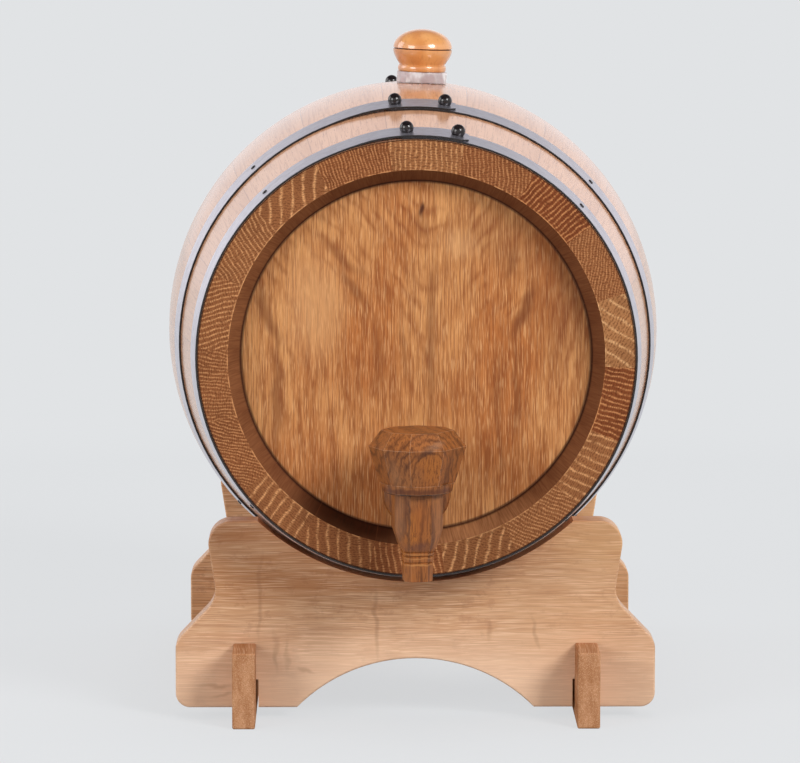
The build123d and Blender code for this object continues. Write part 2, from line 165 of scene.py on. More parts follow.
def end_grain():
    """Oak sawn across: X runs across the rays, Z along them and Y along the stave."""
    tree = bpy.data.node_groups.new("oak end grain", "ShaderNodeTree")
    for name, kind in (
        ("Place", "Vector"), ("Fan", "Float"), ("Ray gap", "Float"), ("Ring gap", "Float")
    ):
        tree.interface.new_socket(name, in_out="INPUT", socket_type="NodeSocket" + kind)
    given = tree.nodes.new("NodeGroupInput").outputs
    place = given["Place"]
    across, lengthwise, outwards = parts_of(tree, place)
    wander = drift(tree, place, (0.13, 0.01, 0.13))
    shiver = drift(tree, place, (0.5, 0.02, 0.5))
    # The rays fan out from the heart of the tree, and the rings bend round it
    spread = reckon(tree, "MULTIPLY_ADD", outwards, given["Fan"], 1.0)
    fanned = reckon(tree, "MULTIPLY_ADD", wander, 2.6, reckon(tree, "DIVIDE", across, spread))
    fanned = reckon(tree, "MULTIPLY_ADD", shiver, 0.55, fanned)
    turns = reckon(tree, "DIVIDE", fanned, given["Ray gap"])
    slow = reckon(tree, "MULTIPLY", lengthwise, 0.02)
    beads = put(tree, "CombineXYZ", {0: turns, 1: slow, 2: outwards})
    present = mottle(tree, beads, (1.1, 1.0, 0.5), detail=4.0, roughness=0.65)
    # Close rays take up half the wood, and broad ones stand in it as thin lines
    sharpness = reckon(tree, "MULTIPLY", given["Ray gap"], 1.7)
    rays = reckon(tree, "POWER", wave(tree, turns), sharpness)
    bent = reckon(tree, "MULTIPLY", reckon(tree, "MULTIPLY", across, across), given["Fan"])
    rounded = reckon(tree, "MULTIPLY_ADD", wander, 3.0, outwards)
    rounded = reckon(tree, "MULTIPLY_ADD", bent, 0.5, rounded)
    rounded = reckon(tree, "MULTIPLY_ADD", shiver, 1.5, rounded)
    early = wave(tree, reckon(tree, "DIVIDE", rounded, given["Ring gap"]))
    dashes = ramp(tree, mottle(tree, place, (1.0, 0.03, 1.0), detail=3.0), 0.38, 0.58)
    figures = {
        "Rays": reckon(tree, "MULTIPLY", rays, ramp(tree, present, 0.28, 0.56)),
        "Rings": reckon(tree, "MULTIPLY", reckon(tree, "POWER", early, 1.4), dashes),
        "Pores": ramp(tree, mottle(tree, place, (1.9, 0.06, 1.9)), 0.48, 0.68),
        "Clouds": mottle(tree, place, (0.06, 0.01, 0.06), detail=1.0),
    }
    for name in figures:
        tree.interface.new_socket(name, in_out="OUTPUT", socket_type="NodeSocketFloat")
    out = tree.nodes.new("NodeGroupOutput").inputs
    for name, figure in figures.items():
        tree.links.new(figure, out[name])
    return tree


oak_end_grain = end_grain()


def mark(tree, place, centre, lean, half_across, half_up):
    """From 0 outside a soft oval mark to 1 in its middle: the centre is across and up, in mm."""
    sockets = {
        "Vector": place,
        "Location": (centre[0] * mm, 0.0, centre[1] * mm),
        "Rotation": (0.0, math.radians(lean), 0.0),
        "Scale": (half_across * mm, 1.0, half_up * mm),
    }
    out = put(tree, "Mapping", sockets, vector_type="TEXTURE")
    out = put(tree, "VectorMath", {0: out}, operation="LENGTH").node.outputs["Value"]
    return ramp(tree, out, 1.25, 0.2)


def wavered(tree, reach, grains):
    """Place on the piece in metres, pushed about a little, so that marks have uneven edges."""
    push = scatter(tree, on_piece(tree), grains)
    push = put(tree, "VectorMath", {0: push, 1: (0.5, 0.5, 0.5)}, operation="SUBTRACT")
    push = put(tree, "VectorMath", {0: push, "Scale": reach}, operation="SCALE")
    return put(tree, "VectorMath", {0: own_place(tree), 1: push}, operation="ADD")


def marked(tree, colour, place, marks):
    """The colour with marks on it: centre, lean, half sizes, what they turn it to, how much."""
    for centre, lean, half_across, half_up, other, strength in marks:
        shape = mark(tree, place, centre, lean, half_across, half_up)
        colour = stain(tree, colour, shape, other, strength)
    return colour


# Painted shadow of the tap on the front chime to its left, and painted light on the chime to its
# right
chime_shadow_and_light = (
    ((-24.0, 86.5), 18, 32.0, 8.5, tint(26, 10, 7), 0.92),
    ((26.0, 86.5), -20, 25.0, 9.0, tint(206, 146, 98), 0.7),
)


def stave_oak(name, angle, lean, fan, ray_gap, ring_gap, tone, ray_light, chime):
    """Oak of one stave, with its own figure in the end grain."""
    material, tree, shader = new_finish(name + " oak")
    turn = math.radians(angle)
    centre = (ring_middle * math.sin(turn), cask_middle, axis_height + ring_middle * math.cos(turn))
    grain = tree.nodes.new("ShaderNodeGroup")
    grain.node_tree = oak_end_grain
    leaning = on_piece(tree, centre, (0.0, turn + math.radians(lean), 0.0))
    tree.links.new(leaning, grain.inputs["Place"])
    for socket, value in (("Fan", fan), ("Ray gap", ray_gap), ("Ring gap", ring_gap)):
        grain.inputs[socket].default_value = value
    grain = grain.outputs
    # Sawn across, the wood is darker and its rays are bright, with a worn edge round the chime
    brown = stain(tree, tint(124, 64, 33), tone, tint(198, 142, 92))
    brown = stain(tree, brown, ramp(tree, grain["Clouds"], 0.35, 0.75), tint(66, 30, 14), 0.3)
    bright = stain(tree, tint(214, 146, 92), tone, tint(238, 190, 136))
    brown = stain(tree, brown, grain["Rays"], bright, ray_light)
    brown = stain(tree, brown, grain["Rings"], tint(84, 38, 18), 0.62)
    brown = stain(tree, brown, grain["Pores"], tint(74, 32, 14), 0.35)
    long = on_piece(tree, (0.0, cask_middle, axis_height), (0.0, turn, 0.0))
    across, lengthwise, up = parts_of(tree, long)
    radius = distance(tree, across, up)
    wear_and_highlight = ramp(tree, radius, ring_inside / mm + 0.6, ring_inside / mm + 0.15)
    chipped = ramp(tree, mottle(tree, on_piece(tree), (0.25, 0.25, 0.25), detail=3.0), 0.42, 0.6)
    brown = stain(tree, brown, reckon(tree, "MULTIPLY", wear_and_highlight, chipped), bright, 0.7)
    # Painted shade on the outer rim of the end grain, where the hoop's edge meets it
    hoop_edge_shade = ramp(tree, radius, end_radius / mm - 0.65, end_radius / mm - 0.2)
    brown = stain(tree, brown, hoop_edge_shade, tint(38, 17, 10), 0.85)
    # Along the grain it is even and warm under the varnish
    clouds = mottle(tree, long, (0.05, 0.006, 0.05))
    threads = mottle(tree, long, (1.3, 0.03, 0.2), detail=3.0, roughness=0.6)
    specks = mottle(tree, long, (1.6, 0.16, 0.4), roughness=0.6)
    plank = stain(tree, tint(196, 138, 100), ramp(tree, clouds, 0.3, 0.7), tint(216, 160, 122))
    plank = stain(tree, plank, ramp(tree, threads, 0.44, 0.68), tint(158, 100, 66), 0.55)
    plank = stain(tree, plank, ramp(tree, specks, 0.6, 0.72), tint(122, 72, 46), 0.65)
    plank = stain(tree, plank, tone * 0.3, tint(226, 178, 138))
    # The chime is left bare and is darker. How pale it is, set for each stave, is painted light and
    # shade, and the dark line where it meets the head is painted shade in the corner of the croze
    bare = stain(tree, tint(74, 30, 14), chime, tint(214, 148, 98))
    # On the front end only, painted shadow of the tap left of it and painted light right of it
    tap_shaded_chime = marked(tree, bare, wavered(tree, 0.006, 0.09), chime_shadow_and_light)
    bare = stain(tree, tap_shaded_chime, ramp(tree, lengthwise, -10.0, 10.0), bare)
    bare = stain(tree, bare, ramp(tree, threads, 0.3, 0.75), tint(84, 38, 18), 0.5)
    bare = stain(tree, bare, ramp(tree, clouds, 0.4, 0.7), tint(78, 35, 17), 0.4)
    # Painted shade in the corner of the croze
    croze_shade = ramp(tree, radius, chime_foot / mm + 0.9, chime_foot / mm + 0.2)
    bare = stain(tree, bare, croze_shade, tint(44, 18, 9), 0.85)
    outside = ramp(tree, radius, 80.0, 84.0)
    plank = stain(tree, bare, outside, plank)
    # Each stave is edged with a fine dark seam
    seam = reckon(tree, "ABSOLUTE", reckon(tree, "ARCTAN2", across, up))
    edge = stave_turn / 2
    seam = ramp(tree, seam, math.radians(edge - 0.2), math.radians(edge - 0.02))
    plank = stain(tree, plank, seam, tint(120, 70, 42), 0.5)
    facing = parts_of(tree, put(tree, "TexCoord").node.outputs["Normal"])["Y"]
    sawn = ramp(tree, reckon(tree, "ABSOLUTE", facing), 0.7, 0.9)
    height = stain(tree, threads, sawn, reckon(tree, "SUBTRACT", grain["Rays"], grain["Pores"]))
    varnish = reckon(tree, "MULTIPLY", outside, reckon(tree, "SUBTRACT", 1.0, sawn))
    set_shader(tree, shader, Base_Color=stain(tree, plank, sawn, brown), Roughness=0.6)
    set_shader(tree, shader, Normal=relief(tree, height, 0.2), Specular_IOR_Level=0.1)
    set_shader(tree, shader, Coat_Weight=varnish, Coat_Roughness=0.17, Coat_IOR=1.7)
    return material


# Lean of the rays off the radius in degrees, how they fan, gaps of rays and rings in mm, how pale
# the end is, how light its rays, and how pale the chime, which is painted light and shade: paler
# at the bottom and left of the end, darker at the top and right
stave_figures = {
    "bung_stave": (0, 0.0, 2.1, 1.2, 0.38, 0.8, 0.24),
    "stave_02": (-22, 0.004, 1.6, 1.0, 0.18, 0.6, 0.22),
    "stave_03": (7, 0.006, 2.0, 1.1, 0.02, 0.85, 0.25),
    "stave_04": (-55, 0.003, 1.2, 1.0, 0.24, 0.55, 0.28),
    "stave_05": (38, 0.002, 4.8, 1.3, 0.66, 0.8, 0.24),
    "stave_06": (5, 0.005, 2.1, 1.0, 0.04, 0.85, 0.26),
    "stave_07": (-6, 0.006, 3.5, 1.0, 0.38, 0.85, 0.3),
    "stave_08": (-30, 0.003, 1.5, 0.9, 0.28, 0.75, 0.36),
    "stave_09": (30, 0.002, 4.4, 1.1, 0.36, 1.0, 0.4),
    "stave_10": (-10, 0.002, 2.6, 1.1, 0.16, 0.7, 0.36),
    "stave_11": (-22, 0.004, 4.3, 1.0, 0.26, 0.85, 0.3),
    "stave_12": (-5, 0.004, 4.0, 1.0, 0.32, 0.95, 0.28),
    "stave_13": (40, 0.002, 1.3, 0.9, 0.18, 0.75, 0.32),
    "stave_14": (14, 0.012, 1.5, 1.0, 0.22, 0.65, 0.36),
    "stave_15": (-27, 0.004, 1.9, 1.0, 0.26, 0.9, 0.38),
    "stave_16": (27, 0.003, 1.8, 0.9, 0.3, 0.75, 0.36),
    "stave_17": (38, 0.002, 4.6, 1.0, 0.32, 1.0, 0.3),
    "stave_18": (3, 0.006, 1.35, 1.0, 0.14, 0.7, 0.25),
}
for place_in_ring, (stave, figure) in enumerate(stave_figures.items()):
    dress(stave, stave_oak(stave, bung_stave_angle + place_in_ring * stave_turn, *figure))

# ------------------------------------------------------------------------------------------- heads
# Three flat-sawn oak boards to a head, glued and dowelled edge to edge, turned round and let into
# the croze of the staves. The face is planed and oiled, with the grain upright.
dark_oak = tint(112, 58, 27)
light_oak = tint(222, 168, 116)
flame_slope = 0.85  # how fast the flames of the grain spread, above their root
flame_gap = 6.4  # mm from one flame to the next
shadow_gap = 15.0  # mm between the broad shadows behind them


def head_oak(name, heart, root, marks):
    """Oak of a head: upright streaks of pores, and flames that spread above their root."""
    material, tree, shader = new_finish(name)
    place = on_piece(tree, (heart, 0.0, 0.0))
    across, _, up = parts_of(tree, place)
    wander = drift(tree, place, (0.035, 0.035, 0.02), detail=3.0)
    ripple = drift(tree, place, (0.1, 0.1, 0.06), detail=3.0)
    sway = reckon(tree, "MULTIPLY_ADD", wander, 20.0, across)
    rise = reckon(tree, "SUBTRACT", up, root / mm)
    climb = reckon(tree, "SQRT", reckon(tree, "MULTIPLY_ADD", rise, rise, 260.0))
    climb = reckon(tree, "MULTIPLY", reckon(tree, "ADD", climb, rise), flame_slope / 2)
    spread = reckon(tree, "SQRT", reckon(tree, "MULTIPLY_ADD", sway, sway, 12.0))
    flames = reckon(tree, "MULTIPLY_ADD", ripple, 9.0, reckon(tree, "SUBTRACT", spread, climb))
    late = reckon(tree, "POWER", wave(tree, flames, flame_gap), 2.0)
    faint = ramp(tree, mottle(tree, place, (0.06, 0.06, 0.045)), 0.4, 0.64)
    streaks = mottle(tree, place, (1.7, 1.7, 0.06), detail=4.0, roughness=0.66)
    fine = mottle(tree, place, (2.7, 2.7, 0.13))
    clouds = mottle(tree, place, (0.035, 0.035, 0.014))
    colour = stain(tree, tint(184, 112, 58), ramp(tree, clouds, 0.34, 0.64), tint(212, 150, 92))
    colour = stain(tree, colour, wave(tree, flames, shadow_gap), tint(152, 84, 38), 0.3)
    colour = stain(tree, colour, reckon(tree, "MULTIPLY", late, faint), tint(138, 70, 28), 0.6)
    colour = stain(tree, colour, ramp(tree, streaks, 0.44, 0.6), tint(132, 68, 30), 0.62)
    colour = stain(tree, colour, ramp(tree, fine, 0.5, 0.68), tint(234, 180, 124), 0.55)
    colour = marked(tree, colour, wavered(tree, 0.006, 0.07), marks)
    # Painted shade round the rim, in the corner of the croze
    across, _, up = parts_of(tree, on_piece(tree, (0.0, 0.0, axis_height)))
    rim_shade = ramp(tree, distance(tree, across, up), chime_foot / mm - 1.1, chime_foot / mm - 0.2)
    colour = stain(tree, colour, rim_shade, tint(58, 25, 12), 0.75)
    sunk = relief(tree, reckon(tree, "MULTIPLY", streaks, -1.0), 0.15)
    set_shader(tree, shader, Base_Color=colour, Roughness=0.55, Normal=sunk)
    set_shader(tree, shader, Specular_IOR_Level=0.2, Coat_Weight=0.08, Coat_Roughness=0.3)
    return material


front_head_marks_and_shade = (
    ((2.3, 215.3), 0, 1.3, 3.4, tint(66, 28, 12), 0.95),
    ((2.0, 209.0), 0, 3.4, 8.0, dark_oak, 0.35),
    ((44.5, 173.0), 21, 3.0, 15.0, dark_oak, 0.65),
    ((41.0, 138.0), -2, 2.4, 26.0, dark_oak, 0.5),
    ((38.4, 192.0), 20, 2.2, 9.0, dark_oak, 0.5),
    ((-60.5, 171.0), -20, 3.0, 16.0, dark_oak, 0.6),
    ((-57.0, 138.0), 0, 2.6, 26.0, dark_oak, 0.6),
    ((6.2, 160.0), 1, 2.4, 46.0, dark_oak, 0.5),
    ((-26.0, 182.0), -32, 2.2, 11.0, dark_oak, 0.5),
    ((-31.0, 196.0), -48, 2.4, 14.0, dark_oak, 0.35),
    ((-15.5, 154.0), 0, 3.0, 20.0, dark_oak, 0.35),
    ((-5.0, 155.0), -8, 2.0, 14.0, dark_oak, 0.35),
    ((34.0, 132.0), 0, 3.0, 28.0, dark_oak, 0.3),
    ((-42.0, 175.0), 0, 14.0, 26.0, light_oak, 0.4),
    ((18.0, 200.0), 20, 9.0, 7.0, light_oak, 0.4),
    # These two broad dark marks, on the right and upper right, are painted shade of the chime
    ((60.0, 178.0), 0, 14.0, 36.0, dark_oak, 0.42),
    ((36.0, 202.0), 30, 26.0, 12.0, dark_oak, 0.32),
)
rear_head_marks = (
    ((-22.0, 176.0), 12, 3.0, 22.0, dark_oak, 0.5),
    ((31.0, 150.0), -6, 3.0, 30.0, dark_oak, 0.45),
    ((8.0, 120.0), 0, 2.4, 26.0, dark_oak, 0.4),
    ((-46.0, 140.0), 3, 10.0, 34.0, light_oak, 0.4),
)
for end, heart, root, marks in (
    ("front", 5.6 * mm, 166.0 * mm, front_head_marks_and_shade),
    ("rear", -24.0 * mm, 130.0 * mm, rear_head_marks),
):
    finish = head_oak(end + " head oak", heart, root, marks)
    for board in ("head_{}_left", "head_{}_middle", "head_{}_right", "head_dowels_{}"):
        dress(board.format(end), finish)

# ------------------------------------------------------------------------------------------- hoops
# Four hoops of galvanised strip, bent to the taper of the cask, the ends lapped with their corners
# clipped. The rolled faces are dull zinc; the slit edges and their rounds are black, partly oxide
# and partly painted shade.
hoop_width = 15.0 * mm
hoop_thickness = 0.8 * mm
hoop_gap = 0.05 * mm
hoop_arris = 0.15 * mm
lap_length = 30.0 * mm
lap_corner = 3.0 * mm
lap_climb = 16.0  # degrees before the lap, in which the strip climbs onto its own end
hoop_steps = 144
end_slack = 0.05 * mm  # corners this near the plane of an end belong to it
face_squareness = 0.9  # faces of the strip that look in or out more squarely are rolled
head_lap_angle = 4.0
quarter_lap_angle = 1.2
hoops = {
    "hoop_head_front": (-125.0 * mm, head_lap_angle),
    "hoop_quarter_front": (-72.2 * mm, quarter_lap_angle),
    "hoop_quarter_rear": (72.2 * mm, quarter_lap_angle),
    "hoop_head_rear": (125.0 * mm, head_lap_angle),
}
axis_point = Vector((0.0, cask_middle, axis_height))


def zinc_finish():
    """Galvanised strip: faint crystals and rolling lines."""
    material, tree, shader = new_finish("dull zinc")
    place = on_piece(tree)
    crystals = put(tree, "TexVoronoi", {"Vector": place, "Scale": 0.4}).node.outputs["Color"]
    crystals = put(tree, "SeparateColor", {0: crystals})
    lines = mottle(tree, place, (0.08, 2.6, 0.08), detail=3.0)
    colour = stain(tree, tint(188, 185, 194), crystals, tint(204, 202, 211))
    colour = stain(tree, colour, ramp(tree, lines, 0.4, 0.7), tint(218, 217, 224))
    rough = reckon(tree, "MULTIPLY_ADD", lines, 0.2, 0.3)
    set_shader(tree, shader, Base_Color=colour, Metallic=1.0, Roughness=rough)
    return material


def black_finish(name, roughness):
    """Black oxide, a little uneven."""
    material, tree, shader = new_finish(name)
    patches = mottle(tree, on_piece(tree), (0.9, 0.9, 0.9), detail=3.0)
    colour = stain(tree, tint(14, 8, 8), ramp(tree, patches, 0.4, 0.7), tint(30, 20, 18))
    rough = reckon(tree, "MULTIPLY_ADD", patches, 0.2, roughness)
    set_shader(tree, shader, Base_Color=colour, Roughness=rough)
    return material


def cask_radius(along):
    """Outside radius of the cask, on its straight stretches and on the bend between them."""
    peak = end_radius + half_length * math.tan(stave_taper)
    if abs(along) > stave_bend * math.sin(stave_taper):
        return peak - abs(along) * math.tan(stave_taper)
    return peak - stave_bend / math.cos(stave_taper) + math.sqrt(stave_bend**2 - along**2)


def choose(piece, test):
    """Edit mode on the piece, with the corners selected whose places pass the test."""
    bpy.context.view_layer.objects.active = piece
    bpy.ops.object.mode_set(mode="EDIT")
    bpy.ops.mesh.select_mode(type="VERT")
    bpy.ops.mesh.select_all(action="DESELECT")
    bpy.ops.object.mode_set(mode="OBJECT")
    for corner in piece.data.vertices:
        corner.select = bool(test(corner.co))
    bpy.ops.object.mode_set(mode="EDIT")


def settle(piece, angle=35.0, flats=False):
    """Puts a piece's place into its mesh, and smooths it but for its arrises and any flats."""
    bpy.ops.object.mode_set(mode="OBJECT")
    bpy.ops.object.select_all(action="DESELECT")
    piece.select_set(True)
    bpy.context.view_layer.objects.active = piece
    bpy.ops.object.transform_apply(location=True, rotation=True, scale=True)
    bpy.ops.object.shade_smooth_by_angle(angle=math.radians(angle))
    if flats:
        evened = piece.modifiers.new("evened", "WEIGHTED_NORMAL")
        evened.keep_sharp = True
        bpy.ops.object.modifier_apply(modifier=evened.name)
    piece.select_set(False)
    return piece


def ease_edges(piece, width, angle=30.0, arris=-1):
    """Rounds the sharp edges of a piece; the rounds may have a material of their own."""
    bpy.context.view_layer.objects.active = piece
    bevel = piece.modifiers.new("eased", "BEVEL")
    bevel.width = width
    bevel.segments = 2
    bevel.material = arris
    bevel.limit_method = "ANGLE"
    bevel.angle_limit = math.radians(angle)
    bpy.ops.object.modifier_apply(modifier=bevel.name)


def standing(middle, *axes):
    """Where a piece goes so that its own X, Y and Z point along three axes."""
    return Matrix.Translation(middle) @ Matrix(axes).transposed().to_4x4()


def bent_hoop(name, along, lap_angle):
    """Strip pulled round the cask from its lower end and on over it, clipped at both ends."""
    middle = axis_point + Vector((0.0, along, 0.0))
    slope = math.copysign(stave_taper, along)
    radius = cask_radius(along) + (hoop_gap + hoop_thickness / 2) / math.cos(stave_taper)
    lap_lift = (hoop_thickness + hoop_gap) / math.cos(stave_taper)
    lap_span = math.degrees(lap_length / radius)
    clip_turn = math.degrees(lap_corner / radius)
    start = lap_angle - lap_span / 2

    def end_place(angle, height):
        """Middle of the strip at an angle, with the ways out of it, across it and along it."""
        turn = math.radians(angle)
        out = Vector((math.sin(turn), 0.0, math.cos(turn)))
        thick = out * math.cos(slope) + Vector((0.0, math.sin(slope), 0.0))
        across = Vector((0.0, math.cos(slope), 0.0)) - out * math.sin(slope)
        return middle + out * height, thick, across, thick.cross(across)

    bpy.ops.mesh.primitive_plane_add(size=1.0, location=(0.0, 0.0, 0.0))
    strip = bpy.context.object
    strip.name = name
    strip.scale = (hoop_thickness, hoop_width, 1.0)
    bpy.ops.object.transform_apply(location=True, rotation=True, scale=True)
    strip.matrix_world = standing(*end_place(start, radius))
    bpy.ops.object.transform_apply(location=True, rotation=True, scale=True)
    bpy.ops.object.mode_set(mode="EDIT")
    bpy.ops.mesh.select_all(action="SELECT")
    gone = 0.0
    lift = 0.0
    step = (360 + lap_span - 2 * clip_turn) / hoop_steps
    for turn in [clip_turn] + [step] * hoop_steps + [clip_turn]:
        bpy.ops.mesh.extrude_region()
        bpy.ops.transform.rotate(
            value=-math.radians(turn),
            orient_axis="Y",
            orient_type="GLOBAL",
            center_override=axis_point,
        )
        gone += turn
        share = min(max((gone - 360 + lap_climb) / lap_climb, 0.0), 1.0)
        climbed = share * share * (3 - 2 * share) * lap_lift
        if climbed > lift:
            growth = (radius + climbed) / (radius + lift)
            bpy.ops.transform.resize(value=(growth, 1.0, growth), center_override=middle)
            lift = climbed
    for angle, height in ((start, radius), (start + gone, radius + lift)):
        centre, thick, across, forwards = end_place(angle, height)
        for side in (-1, 1):
            choose(strip, lambda corner: abs((corner - centre).dot(forwards)) < end_slack
                   and abs((corner - centre).dot(thick)) < hoop_thickness
                   and 0 < side * (corner - centre).dot(across) < hoop_width)
            bpy.ops.transform.translate(value=across * (-side * lap_corner))
    bpy.ops.mesh.select_all(action="SELECT")
    bpy.ops.mesh.normals_make_consistent(inside=False)
    bpy.ops.object.mode_set(mode="OBJECT")
    ease_edges(strip, hoop_arris)
    return strip


zinc = zinc_finish()
slit_oxide_and_shade = black_finish("black slit edge", 0.4)
for hoop, (along, lap_angle) in hoops.items():
    strip = bent_hoop(hoop + "_strip", along, lap_angle)
    strip.data.materials.append(zinc)
    strip.data.materials.append(slit_oxide_and_shade)
    # Slit edges and their rounds take the black: partly oxide, partly painted shade
    for side in strip.data.polygons:
        outwards = side.center - axis_point
        outwards.y = 0.0
        rolled = abs(side.normal.dot(outwards.normalized())) > face_squareness
        side.material_index = 0 if rolled else 1
    settle(strip, 50.0, flats=True)
    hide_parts(hoop)
    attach(strip, "barrel")

# ------------------------------------------------------------------------------------------ rivets
# Eight steel rivets with round black heads, two through each lap, set cold from the outside. Each
# head is most of a ball, and closes in a little at its foot.
rivet_radius = 2.9 * mm
rivet_tuck = 31.0  # how far the ball head closes in below its widest, degrees
rivet_pitch = 20.4 * mm
rivet_rises = (-rivet_tuck, -20, -8, 4, 16, 28, 40, 51, 61, 70, 78, 84)
lap_top = 2 * (hoop_gap + hoop_thickness)
black_gloss = black_finish("black rivet gloss", 0.08)


def turned(name, rings, sides):
    """Piece turned on a lathe, from its foot up: each ring is a height and a radius."""
    height, radius = rings[0]
    bpy.ops.mesh.primitive_circle_add(
        vertices=sides, radius=radius, fill_type="NGON", location=(0.0, 0.0, height)
    )
    piece = bpy.context.object
    piece.name = name
    bpy.ops.object.transform_apply(location=True, rotation=True, scale=True)
    bpy.ops.object.mode_set(mode="EDIT")
    bpy.ops.mesh.select_all(action="SELECT")
    for next_height, next_radius in rings[1:]:
        bpy.ops.mesh.extrude_region()
        bpy.ops.transform.translate(value=(0.0, 0.0, next_height - height))
        if next_radius == 0.0:
            bpy.ops.mesh.merge(type="CENTER")
            break
        growth = next_radius / radius
        bpy.ops.transform.resize(
            value=(growth, growth, 1.0), center_override=(0.0, 0.0, next_height)
        )
        height, radius = next_height, next_radius
    bpy.ops.mesh.select_all(action="SELECT")
    bpy.ops.mesh.normals_make_consistent(inside=False)
    bpy.ops.object.mode_set(mode="OBJECT")
    return piece


def stand_out(piece, along, angle, lift):
    """Stands a piece on the outside of the cask, straight out of the wood."""
    turn = math.radians(angle)
    slope = math.copysign(stave_taper, along)
    outwards = Vector((math.sin(turn), 0.0, math.cos(turn)))
    sideways = Vector((math.cos(turn), 0.0, -math.sin(turn)))
    normal = outwards * math.cos(slope) + Vector((0.0, math.sin(slope), 0.0))
    foot = axis_point + Vector((0.0, along, 0.0)) + outwards * cask_radius(along) + normal * lift
    piece.matrix_world = standing(foot, sideways, normal.cross(sideways), normal)


def set_of(pattern, places, lift, finish):
    """Copies of a piece at places on the cask, joined into one object, with the pattern gone."""
    copies = []
    for along, angle in places:
        bpy.ops.object.select_all(action="DESELECT")
        pattern.select_set(True)
        bpy.context.view_layer.objects.active = pattern
        bpy.ops.object.duplicate(linked=False)
        stand_out(bpy.context.object, along, angle, lift)
        copies.append(bpy.context.object)
    bpy.ops.object.select_all(action="DESELECT")
    for copy in copies:
        copy.select_set(True)
    bpy.context.view_layer.objects.active = copies[0]
    bpy.ops.object.join()
    joined = bpy.context.object
    joined.name = pattern.name + "s"
    joined.data.materials.append(finish)
    bpy.data.objects.remove(pattern)
    return settle(joined)


ball_middle = rivet_radius * math.sin(math.radians(rivet_tuck))
rivet_rings = []
for rise in map(math.radians, rivet_rises):
    rivet_rings.append((ball_middle + rivet_radius * math.sin(rise), rivet_radius * math.cos(rise)))
rivet_rings.append((ball_middle + rivet_radius, 0.0))
rivet_places = [
    (along, lap_angle + side * math.degrees(rivet_pitch / 2 / cask_radius(along)))
    for along, lap_angle in hoops.values()
    for side in (-1, 1)
]
rivets = set_of(turned("rivet_head", rivet_rings, 32), rivet_places, lap_top, black_gloss)
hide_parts("hoop_rivets")
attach(rivets, "barrel")

# ------------------------------------------------------------------------------------------- nails
# Sixteen small black nails, four round each hoop, driven home through the strip into the staves.
# They keep the hoops from creeping.
nail_rings = (
    (0.0, 1.1 * mm),
    (0.28 * mm, 1.1 * mm),
    (0.44 * mm, 0.95 * mm),
    (0.52 * mm, 0.6 * mm),
    (0.55 * mm, 0.0),
)
nail_angles = (-42.5, 47.5, 137.5, 227.5)
nail_places = [(along, angle) for along, _ in hoops.values() for angle in nail_angles]
strip_top = hoop_gap + hoop_thickness
nails = set_of(turned("nail_head", nail_rings, 20), nail_places, strip_top, black_gloss)
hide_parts("hoop_nails")
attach(nails, "barrel")

# -------------------------------------------------------------------------------------------- bung
# Knob turned from pear wood and varnished, with a groove round its widest part darkened with
# painted shade, pushed on its tenon into a clear silicone stopper.
bung_angle = math.radians(2.1)
bung_out = Vector((math.sin(bung_angle), 0.0, math.cos(bung_angle)))
flange_top = cask_radius(0.0) + 4.6 * mm
knob_foot = axis_point + bung_out * flange_top
knob_gap = 0.05 * mm
bead_foot = 9.5 * mm
bead_core = 9.84 * mm  # radius of the ring that the bead swells from
bead_swell = 0.6 * mm
bead_height = 2.9 * mm
neck_radius = 9.9 * mm
neck_foot = bead_height + 0.3 * mm
knob_radius = 12.75 * mm
knob_waist = 10.2 * mm  # how high the widest part is
knob_dome = 8.2 * mm
groove_size = 0.55 * mm  # width and depth
bead_steps = 8
neck_steps = 8
dome_steps = 12


def varnished_knob():
    """Pear wood under thick varnish: fine upright grain, and painted shade in the groove."""
    material, tree, shader = new_finish("varnished knob")
    place = on_piece(tree, tuple(knob_foot), (0.0, bung_angle, 0.0))
    grain = mottle(tree, place, (0.9, 0.9, 0.05), detail=3.0, roughness=0.6)
    clouds = mottle(tree, place, (0.12, 0.12, 0.05), detail=1.0)
    colour = stain(tree, tint(208, 132, 66), ramp(tree, clouds, 0.3, 0.7), tint(228, 160, 92))
    colour = stain(tree, colour, ramp(tree, grain, 0.5, 0.72), tint(176, 100, 44), 0.4)
    # Painted shade in the groove round the widest part
    line_height = (knob_waist - groove_size / 2) / mm
    line = reckon(tree, "SUBTRACT", parts_of(tree, place)["Z"], line_height)
    groove_shade = ramp(tree, reckon(tree, "ABSOLUTE", line), 0.32, 0.1)
    colour = stain(tree, colour, groove_shade, tint(96, 40, 16))
    set_shader(tree, shader, Base_Color=colour, Roughness=0.4)
    set_shader(tree, shader, Coat_Weight=1.0, Coat_Roughness=0.06, Coat_IOR=1.6)
    return material


knob_rings = [(knob_gap, bead_foot)]
for step in range(1, bead_steps + 1):
    round_turn = math.pi * (step / bead_steps - 0.5)
    rise = knob_gap + bead_height / 2 * (1 + math.sin(round_turn))
    knob_rings.append((rise, bead_core + bead_swell * math.cos(round_turn)))
for step in range(neck_steps + 1):
    share = step / neck_steps
    rise = neck_foot + (knob_waist - groove_size - neck_foot) * share
    swell = math.sin(share * math.pi / 2)
    knob_rings.append((rise, neck_radius + (knob_radius - neck_radius) * swell))
knob_rings.append((knob_waist - groove_size / 2, knob_radius - groove_size))
for step in range(dome_steps):
    round_turn = math.pi / 2 * step / dome_steps
    rise = knob_waist + knob_dome * math.sin(round_turn)
    knob_rings.append((rise, knob_radius * math.cos(round_turn)))
knob_rings.append((knob_waist + knob_dome, 0.0))
knob = turned("turned_knob", knob_rings, 64)
knob.matrix_world = Matrix.Translation(knob_foot) @ Matrix.Rotation(bung_angle, 4, "Y")
knob.data.materials.append(varnished_knob())
settle(knob, 50.0)
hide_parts("bung_knob")
